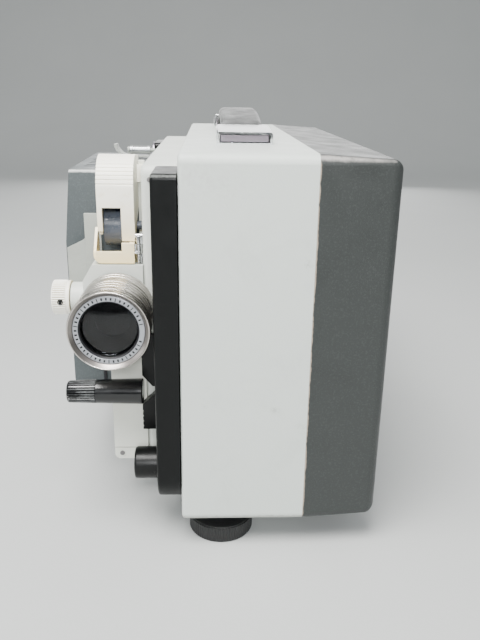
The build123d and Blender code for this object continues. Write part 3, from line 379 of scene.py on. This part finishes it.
CAD_MATERIALS = {
    "case": ("case_shell",),
    "dark_cover": ("side_cover",),
    "housing": ("mechanism_housing",),
    "black": ("cooling_fan", "shutter_disc"),
    "arm": ("front_arm",),
    "rubber": ("drive_belt", "sprocket_band"),
    "coil": ("transformer_coil",),
    "ceramic": ("lamp_socket",),
    "wheel": ("worm_wheel",),
    "chrome": ("pressure_plate", "lamp_reflector"),
    "sheet": ("chassis_plate",),
    "steel": ("main_shaft", "motor_body", "motor_shaft", "claw_arm", "front_foot_screw", "foot_bush"),
    "core": ("transformer_core",),
    "clear": ("lamp_bulb",),
}
for key, names in CAD_MATERIALS.items():
    for name in names:
        mesh = NODES[name].data
        mesh.materials.clear()
        mesh.materials.append(MATS[key])


# ---------------------------------------------------------------- rebuilt pieces
def finish_mesh(bm, name):
    """Mesh data from a bmesh, shaded smooth with its hard edges marked."""
    bmesh.ops.recalc_face_normals(bm, faces=bm.faces)
    mesh = bpy.data.meshes.new(name)
    bm.to_mesh(mesh)
    bm.free()
    mesh.polygons.foreach_set("use_smooth", [True] * len(mesh.polygons))
    mesh.set_sharp_from_angle(angle=SHARP)
    return mesh


def place_piece(name, mesh, node, materials, stands_for=()):
    """Link a mesh as a piece that rides with a CAD node's body, hiding the CAD nodes it stands for."""
    for key in materials:
        mesh.materials.append(MATS[key])
    obj = bpy.data.objects.new(name, mesh)
    scene.collection.objects.link(obj)
    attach(obj, BODY_OF[node])
    if stands_for:
        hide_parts(*stands_for)
    return obj


def refined(node, name, material, width, segments=2, angle=30.0):
    """The CAD node's shape with softly rounded edges, standing for the node."""
    bm = bmesh.new()
    bm.from_mesh(NODES[node].data)
    bmesh.ops.remove_doubles(bm, verts=bm.verts, dist=CAD_JOIN_GAP)
    bmesh.ops.dissolve_limit(bm, angle_limit=FLAT, verts=bm.verts, edges=bm.edges)
    obj = place_piece(name, finish_mesh(bm, name), node, (material,), (node,))
    bevel = obj.modifiers.new("edges", "BEVEL")
    bevel.width, bevel.segments = width * MM, segments
    bevel.limit_method, bevel.angle_limit = "ANGLE", radians(angle)
    bevel.harden_normals = True
    return obj


def soften(points, radius, steps=3):
    """A closed outline with its corners rounded."""
    out = []
    for i, point in enumerate(points):
        a, b, c = Vector(points[i - 1]), Vector(point), Vector(points[(i + 1) % len(points)])
        start = b + (a - b).normalized() * min(radius, (a - b).length * 0.45)
        end = b + (c - b).normalized() * min(radius, (c - b).length * 0.45)
        out += [start * (1 - t) ** 2 + b * 2 * t * (1 - t) + end * t * t
                for t in (k / steps for k in range(steps + 1))]
    return out


def ring_mesh(bm, outline, centre, axis, steps=96, shift=None, index=0, paint=None):
    """Add a turned ring to bm from a closed outline of (along, radius) points in millimetres.

    shift(along, radius, turn) moves the radius; paint(along, radius) picks a face's material.
    """
    ahead = Vector(axis)
    side = Vector((0, 0, 1)) if abs(ahead.z) < 0.5 else Vector((1, 0, 0))
    other = ahead.cross(side)
    rows = []
    for k in range(steps):
        turn = 2 * pi * k / steps
        out = side * cos(turn) + other * sin(turn)
        row = []
        for along, radius in outline:
            moved = radius + (shift(along, radius, turn) if shift else 0.0)
            row.append(bm.verts.new(centre + (ahead * along + out * max(0.0, moved)) * MM))
        rows.append(row)
    count = len(outline)
    for k in range(steps):
        here, there = rows[k], rows[(k + 1) % steps]
        for i in range(count):
            j = (i + 1) % count
            face = bm.faces.new((here[i], here[j], there[j], there[i]))
            face.material_index = index
            if paint:
                along, radius = (outline[i][0] + outline[j][0]) / 2, (outline[i][1] + outline[j][1]) / 2
                face.material_index = paint(along, radius)


def block_mesh(bm, centre, half, turn=None, index=0, rim=0.2):
    """Add a chamfered block to bm; half sizes and the chamfer are in millimetres."""
    hx, hy, hz = half
    rim = min(rim, 0.4 * min(half))
    levels = ((-hz, rim), (-hz + rim, 0.0), (hz - rim, 0.0), (hz, rim))
    rings = []
    for z, inset in levels:
        x, y = hx - inset, hy - inset
        corners = [(x, y - rim), (x - rim, y), (-x + rim, y), (-x, y - rim),
                   (-x, -y + rim), (-x + rim, -y), (x - rim, -y), (x, -y + rim)]
        ring = []
        for px, py in corners:
            point = Vector((px, py, z)) * MM
            ring.append(bm.verts.new(centre + (turn @ point if turn else point)))
        rings.append(ring)
    faces = [bm.faces.new(rings[0][::-1]), bm.faces.new(rings[-1])]
    for low, high in zip(rings, rings[1:]):
        faces += [bm.faces.new((low[i], low[(i + 1) % 8], high[(i + 1) % 8], high[i])) for i in range(8)]
    for face in faces:
        face.material_index = index


REFINED = (  # node, name, material, edge width in millimetres
    ("film_guide", "film_guide_body", "cream", 0.35),
    ("guide_shoe", "guide_shoe_body", "cream", 0.5),
    ("shoe_hinge", "shoe_hinge_knuckle", "chrome", 0.2),
    ("guide_pin", "guide_pin_set", "chrome", 0.2),
    ("lamp_house_cover", "lamp_house_shell", "lamp_house", 0.6),
    ("handle_brackets", "handle_bracket_plates", "chrome", 0.3),
    ("handle_strap", "handle_strap_body", "strap", 0.9),
    ("handle_tongues", "handle_tongue_plates", "tongue", 0.4),
    ("thumb_lever", "thumb_lever_body", "black", 0.3),
    ("hinge_plate", "hinge_plate_body", "black", 0.3),
    ("lens_holder", "lens_holder_body", "housing", 0.6),
    ("lower_cover", "lower_cover_body", "warm_paint", 0.6),
    ("lower_trim", "lower_trim_plate", "warm_paint", 0.5),
    ("focus_bush", "focus_bush_body", "housing", 0.6),
    ("gate_plate", "gate_plate_body", "shield", 0.2),
    ("light_shield", "light_shield_body", "shield", 0.2),
    ("rear_arm", "rear_arm_body", "black", 0.4),
    ("arm_pivots", "arm_pivot_studs", "steel", 0.3),
    ("front_spindle_hub", "front_hub_body", "black", 0.3),
    ("front_spindle_core", "front_hub_core", "chrome", 0.3),
    ("rear_spindle", "rear_spindle_body", "black", 0.3),
    ("front_foot", "front_foot_disc", "black_rough", 0.2),
    ("rear_feet", "rear_feet_pads", "rubber", 0.6),
    ("mains_inlet", "mains_inlet_body", "black", 0.3),
    ("upper_sprocket", "upper_sprocket_body", "roller", 0.15),
    ("lower_sprocket", "lower_sprocket_body", "roller", 0.15),
    ("rear_guide_roller", "rear_roller_body", "sheet", 0.2),
    ("rear_guide_lip", "rear_lip_body", "shield", 0.2),
)
for node, name, material, width in REFINED:
    refined(node, name, material, width)


# ---------------------------------------------------------------- lens
def make_lens():
    """Silver bezel and collar, black baffle, glasses, marked ring and ribbed zoom ring."""
    def bezel_paint(along, radius):
        if radius < 15.6 or (3.3 < along < 4.4 and 20.9 < radius < 21.48):
            return 2
        return 1 if (along < 3.5 and 18.6 < radius < 20.72) or (along > 27.5 and 18.5 < radius < 20.6) else 0

    def groove_paint(along, radius):
        return 1 if 8.0 < along < 26.0 and 18.5 < radius < 21.0 else 0

    def rim_paint(along, radius):
        return 1 if radius < 15.85 or radius > 18.55 else 0

    bm = bmesh.new()
    bezel = [(3.4, 15.0), (3.4, 18.75), (1.85, 18.75), (0.05, 20.75), (0.0, 21.15), (0.7, 21.5), (3.3, 21.5),
             (3.45, 21.05), (4.25, 21.05), (4.4, 21.5), (6.0, 21.5), (6.4, 20.9), (7.4, 20.9), (7.4, 17.9)]
    collar = [(27.0, 17.9), (27.0, 20.4)]
    for ring in range(3):
        start = 28.0 + 4.2 * ring
        collar += [(start, 20.8), (start + 3.0, 20.8), (start + 3.3, 20.0), (start + 3.9, 20.0)]
    collar += [(41.0, 20.2), (41.0, 17.0), (57.0, 17.0), (57.0, 13.0), (20.0, 13.0), (14.0, 15.0)]
    ring_mesh(bm, soften(bezel + collar, 0.25), LENS, AHEAD, 160, paint=bezel_paint)
    place_piece("lens_bezel", finish_mesh(bm, "lens_bezel"), "lens_barrel",
                ("lens_metal", "lens_worn", "lens_black"), ("lens_barrel",))

    bm = bmesh.new()
    shade = [(6.42, 20.0), (6.42, 20.86), (7.6, 20.5), (7.6, 18.2), (7.2, 18.2), (7.2, 20.0)]
    ring_mesh(bm, soften(shade, 0.1), LENS, AHEAD, 128)
    steps_in = []
    for k in range(9):
        along, radius = 10.6 + 0.9 * k, 14.9 - 0.75 * k
        steps_in += [(along, radius), (along + 0.35, radius - 0.65)]
    ring_mesh(bm, [(10.4, 14.95)] + steps_in + [(19.6, 8.2), (19.6, 12.9), (14.0, 14.9)], LENS, AHEAD, 128)
    ring_mesh(bm, [(9.3, 14.2), (9.3, 14.95), (10.3, 14.95), (10.3, 14.2)], LENS, AHEAD, 96)
    ring_mesh(bm, soften([(19.7, 0.0), (19.7, 12.9), (20.5, 12.9), (20.5, 0.0)], 0.05), LENS, AHEAD, 64)
    bmesh.ops.remove_doubles(bm, verts=bm.verts, dist=JOIN_GAP)
    place_piece("lens_baffle", finish_mesh(bm, "lens_baffle"), "lens_barrel", ("lens_black",))

    bm = bmesh.new()
    face = [(2.6, 15.05), (2.1, 15.5), (1.85, 15.95), (1.85, 18.35), (2.1, 18.7), (3.35, 18.7),
            (3.35, 15.05)]
    ring_mesh(bm, soften(face, 0.1), LENS, AHEAD, 160, paint=rim_paint)
    ticks, first_tick, tick_step, long_every = 42, 12.0, 8.0, 4
    for k in range(ticks):
        turn = radians(first_tick + tick_step * k)
        tall = 0.72 if k % long_every else 1.0
        wide = 0.46 if k % long_every else 0.26
        out = Vector((cos(turn), 0.0, sin(turn)))
        spin = Matrix(((cos(turn), 0.0, -sin(turn)), (0.0, 1.0, 0.0), (sin(turn), 0.0, cos(turn))))
        block_mesh(bm, LENS + (out * 17.1 + Vector(AHEAD) * 1.84) * MM, (tall, 0.06, wide), spin, 1, 0.05)
    place_piece("lens_marked_ring", finish_mesh(bm, "lens_marked_ring"), "lens_name_ring",
                ("name_ring", "ink"), ("lens_name_ring",))

    bm = bmesh.new()
    parts = 8
    for front, back, radius, bulge in ((5.0, 9.0, 14.95, 1.6), (49.0, 54.0, 12.95, 1.4)):
        sag = [(bulge * (1 - (k / parts) ** 2), radius * k / parts) for k in range(parts + 1)]
        outline = [(front - s, r) for s, r in sag] + [(back + s, r) for s, r in reversed(sag)]
        ring_mesh(bm, outline, LENS, AHEAD, 96)
    bmesh.ops.remove_doubles(bm, verts=bm.verts, dist=JOIN_GAP)
    place_piece("lens_glass_pair", finish_mesh(bm, "lens_glass_pair"), "lens_glasses", ("glass",),
                ("lens_glasses",))

    bm = bmesh.new()
    ribs = [(7.85, 18.05), (7.85, 20.7)]
    for ring in range(4):
        start = 8.5 + 4.4 * ring
        ribs += [(start, 21.2), (start + 3.0, 21.2), (start + 3.35, 20.3), (start + 4.05, 20.3)]
    ribs += [(26.0, 20.9), (26.6, 20.6), (26.6, 18.05)]
    ring_mesh(bm, soften(ribs, 0.22), LENS, AHEAD, 160, paint=groove_paint)
    place_piece("zoom_ring_body", finish_mesh(bm, "zoom_ring_body"), "zoom_ring",
                ("lens_metal", "lens_worn"), ("zoom_ring",))


# ---------------------------------------------------------------- knob, lever, screws and trim
def make_knob():
    """Finely ribbed focus knob with smooth rims, its shaft and its slotted set screw."""
    count, shaft = 46, 3.0

    def knurl(along, radius, turn):
        inside = 0.9 < along < 7.9 and radius > 9.0
        return -0.8 * (0.5 - 0.5 * cos(count * turn)) ** 1.5 if inside else 0.0

    bm = bmesh.new()
    outline = [(0.0, 7.6), (0.0, 9.5), (0.45, 10.05), (0.95, 10.1), (1.0, 10.1), (4.0, 10.1),
               (7.8, 10.1), (8.0, 9.75), (8.6, 9.75), (8.9, 10.0), (10.1, 10.0), (10.3, 9.8),
               (10.3, shaft), (20.7, shaft), (20.7, 0.0), (1.2, 0.0), (1.2, 7.2)]
    ring_mesh(bm, outline, KNOB, TO_RIGHT, count * 8, knurl)
    bmesh.ops.remove_doubles(bm, verts=bm.verts, dist=JOIN_GAP)
    place_piece("focus_knob_body", finish_mesh(bm, "focus_knob_body"), "focus_knob", ("knob",),
                ("focus_knob",))

    bm = bmesh.new()
    screw = Vector((middle("focus_set_screw").x, node_box("focus_set_screw")[0].y, KNOB.z))
    wall = soften([(0.0, 1.15), (0.0, 1.65), (3.2, 1.65), (3.2, 1.15)], 0.1)
    ring_mesh(bm, wall, screw, AHEAD, 40, index=1)
    ring_mesh(bm, [(0.5, 0.0), (0.5, 1.16), (3.2, 1.16), (3.2, 0.0)], screw, AHEAD, 40)
    bmesh.ops.remove_doubles(bm, verts=bm.verts, dist=JOIN_GAP)
    for side in (-1, 1):
        block_mesh(bm, screw + Vector((0.0, 0.3, side * 0.62)) * MM, (0.85, 0.22, 0.32), None, 1, 0.08)
    place_piece("focus_set_screw_head", finish_mesh(bm, "focus_set_screw_head"), "focus_set_screw",
                ("ink", "black"), ("focus_set_screw",))


def make_lever():
    """Tapered lever with a ribbed end and its spindle."""
    reach = (node_box("control_lever")[1].x - node_box("control_lever")[0].x) / MM
    start, end = 6.4, 7.5
    count, pin = 26, 3.0

    def taper(along):
        return start + (end - start) * along / reach

    def ribs(along, radius, turn):
        ribbed = 1.1 < along < 16.5 and radius > 5.5
        return -0.7 * max(0.0, -cos(count * turn)) ** 0.6 if ribbed else 0.0

    bm = bmesh.new()
    outline = [(0.0, 0.0), (0.0, 5.0), (0.25, 5.7), (0.8, 6.2), (1.2, 6.4)]
    outline += [(x, taper(x)) for x in (2.0, 8.0, 16.0, 16.4, 16.8, 24.0, 32.0)]
    outline += [(reach - 0.5, end), (reach, end - 0.5), (reach, 0.0)]
    ring_mesh(bm, outline, LEVER, TO_RIGHT, count * 10, ribs)
    spindle = Vector((case_point(-30.0, 0, 0).x, LEVER.y, LEVER.z))
    back = (node_box("control_lever")[1].y - LEVER.y) / MM
    ring_mesh(bm, [(0.0, 0.0), (0.0, pin), (back, pin), (back, 0.0)], spindle, AHEAD, 48)
    bmesh.ops.remove_doubles(bm, verts=bm.verts, dist=JOIN_GAP)
    place_piece("control_lever_body", finish_mesh(bm, "control_lever_body"), "control_lever", ("lever",),
                ("control_lever",))


def slotted_screws(name, node, places, axis, radius, height, material):
    """Domed slotted screw heads standing for a CAD node of plain screws."""
    bm = bmesh.new()
    ahead = Vector(axis)
    for place in places:
        outline = [(0.35 * height, 0.0), (0.35 * height, radius * 0.97), (-height, radius * 0.97),
                   (-height, 0.0)]
        ring_mesh(bm, soften(outline, 0.05), place, -ahead, 40)
        for side in (-1, 1):
            across = ahead.cross(Vector((0, 0, 1))).normalized() if abs(ahead.z) < 0.5 else Vector((1, 0, 0))
            lean = (across + Vector((0, 0, 0.6))).normalized()
            along = ahead.cross(lean)
            turn = Matrix((along, lean, ahead)).transposed()
            block_mesh(bm, place + (lean * side * radius * 0.52 - ahead * (0.55 * height)) * MM,
                       (radius * 0.74, radius * 0.34, 0.45 * height), turn, 0, 0.15)
    bmesh.ops.remove_doubles(bm, verts=bm.verts, dist=JOIN_GAP)
    return place_piece(name, finish_mesh(bm, name), node, (material,), (node,))


def make_screws():
    """Slotted heads for the housing and the side cover."""
    lo, hi = node_box("housing_screws")
    inset = 2.2 * MM
    spots = [Vector((lo.x + inset, hi.y, lo.z + inset)), Vector((hi.x - inset, hi.y, hi.z - inset))]
    slotted_screws("housing_screw_heads", "housing_screws", spots, TO_FRONT, 1.5, 0.6, "core")
    lo, hi = node_box("side_cover_screws")
    spots = [Vector((hi.x - 1.0 * MM, y, z))
             for y in (lo.y + 2 * MM, hi.y - 2 * MM) for z in (lo.z + 2 * MM, hi.z - 2 * MM)]
    slotted_screws("side_cover_screw_heads", "side_cover_screws", spots, TO_RIGHT, 2.0, 1.0, "steel")


def make_dark_strip():
    """Short black strip in the dark gap at the lower front corner of the lamp house."""
    bm = bmesh.new()
    block_mesh(bm, case_point(-51.8, 79.0, 55.7), (1.0, 0.9, 4.2), None, 0, 0.3)
    place_piece("lamp_house_dark_strip", finish_mesh(bm, "lamp_house_dark_strip"), "lamp_house_cover", ("ink",))


def make_side_wall():
    """Return of the housing behind the film guide's right edge, in the warmer lower-cover paint whose brown
    tint is painted shade beside the guide.
    """
    bm = bmesh.new()
    block_mesh(bm, case_point(-24.1, 71.5, 167.3), (2.05, 1.2, 27.0), None, 0, 0.4)
    place_piece("guide_side_wall", finish_mesh(bm, "guide_side_wall"), "mechanism_housing", ("warm_paint",))


make_lens()
make_knob()
make_lever()
make_screws()
make_dark_strip()
make_side_wall()


# ---------------------------------------------------------------- camera, light and floor
CAMERA_PLACE = case_point(15.4, -328.6, 234.8)
CAMERA_PITCH, CAMERA_YAW, CAMERA_ROLL = radians(18.975), radians(2.735), radians(0.97)
CAMERA_LENS = 38.12
SENSOR = 36.0
SKY_LOW, SKY_HIGH = 0.12, 0.9
LIT_POINT = (0.0, 0.0, 0.12)
LIGHTS = (  # name, place, size in metres, watts, colour
    ("key_light", (-0.25, -0.50, 1.20), 0.7, 44.0, (1.0, 0.99, 0.965)),
    ("front_fill", (0.05, -1.7, 0.80), 0.28, 26.0, (0.97, 0.99, 1.0)),
    ("left_fill", (-1.2, -0.3, 0.5), 0.6, 5.0, (0.98, 0.99, 1.0)),
    ("back_light", (0.10, 1.25, 0.55), 1.0, 9.0, (1.0, 1.0, 0.99)),
)


def make_camera():
    """Camera at the height and turn from which the object is seen."""
    ahead = Vector((sin(CAMERA_YAW) * cos(CAMERA_PITCH), cos(CAMERA_YAW) * cos(CAMERA_PITCH),
                    -sin(CAMERA_PITCH)))
    side = Vector((cos(CAMERA_YAW), -sin(CAMERA_YAW), 0.0))
    up = side.cross(ahead)
    rolled_side = side * cos(CAMERA_ROLL) + up * sin(CAMERA_ROLL)
    rolled_up = up * cos(CAMERA_ROLL) - side * sin(CAMERA_ROLL)
    data = bpy.data.cameras.new("camera")
    data.lens, data.sensor_width = CAMERA_LENS, SENSOR
    data.clip_start, data.clip_end = 0.01, 20.0
    cam = bpy.data.objects.new("camera", data)
    turn = Matrix((rolled_side, rolled_up, -ahead)).transposed()
    cam.matrix_world = Matrix.Translation(CAMERA_PLACE) @ turn.to_4x4()
    scene.collection.objects.link(cam)
    scene.camera = cam


def make_area(name, place, target, size, power, colour):
    """Soft square light pointing at a target."""
    data = bpy.data.lights.new(name, "AREA")
    data.shape, data.size, data.energy, data.color = "SQUARE", size, power, colour
    lamp = bpy.data.objects.new(name, data)
    lamp.location = place
    lamp.visible_camera = False
    lamp.rotation_euler = (Vector(target) - Vector(place)).to_track_quat("-Z", "Y").to_euler()
    scene.collection.objects.link(lamp)


def make_stage():
    """Pale floor that curves up into a backdrop, lights and sky."""
    s = Shader("floor_pale", rough=0.9)
    s.colour(s.mix(s.noise(6.0, 3.0), (0.40, 0.41, 0.405), (0.43, 0.44, 0.435)))
    s.bump(s.noise(500.0, 3.0), 0.0001)
    half, back, radius, steps, top = 3.0, 1.6, 0.8, 12, 3.0
    rows = [(-half, 0.0)]
    rows += [(back + radius * sin(t * pi / 2 / steps), radius - radius * cos(t * pi / 2 / steps))
             for t in range(steps + 1)]
    rows.append((back + radius, top))
    verts = [(x, y, z) for y, z in rows for x in (-half, half)]
    faces = [(2 * i, 2 * i + 1, 2 * i + 3, 2 * i + 2) for i in range(len(rows) - 1)]
    mesh = bpy.data.meshes.new("floor")
    mesh.from_pydata(verts, [], faces)
    mesh.materials.append(s.mat)
    for poly in mesh.polygons:
        poly.use_smooth = True
    floor = bpy.data.objects.new("floor", mesh)
    scene.collection.objects.link(floor)
    for name, where, size, power, colour in LIGHTS:
        make_area(name, where, LIT_POINT, size, power, colour)
    world = bpy.data.worlds.new("studio")
    world.use_nodes = True
    nodes, links = world.node_tree.nodes, world.node_tree.links
    place = nodes.new("ShaderNodeTexCoord")
    height = nodes.new("ShaderNodeSeparateXYZ")
    fade = nodes.new("ShaderNodeMapRange")
    links.new(place.outputs["Generated"], height.inputs[0])
    links.new(height.outputs["Z"], fade.inputs["Value"])
    for key, number in zip(("From Min", "From Max", "To Min", "To Max"), (0.0, 0.8, SKY_LOW, SKY_HIGH)):
        fade.inputs[key].default_value = number
    nodes["Background"].inputs["Color"].default_value = (0.84, 0.88, 0.90, 1.0)
    links.new(fade.outputs["Result"], nodes["Background"].inputs["Strength"])
    scene.world = world


make_camera()
make_stage()

# ---------------------------------------------------------------- end
bpy.context.view_layer.update()
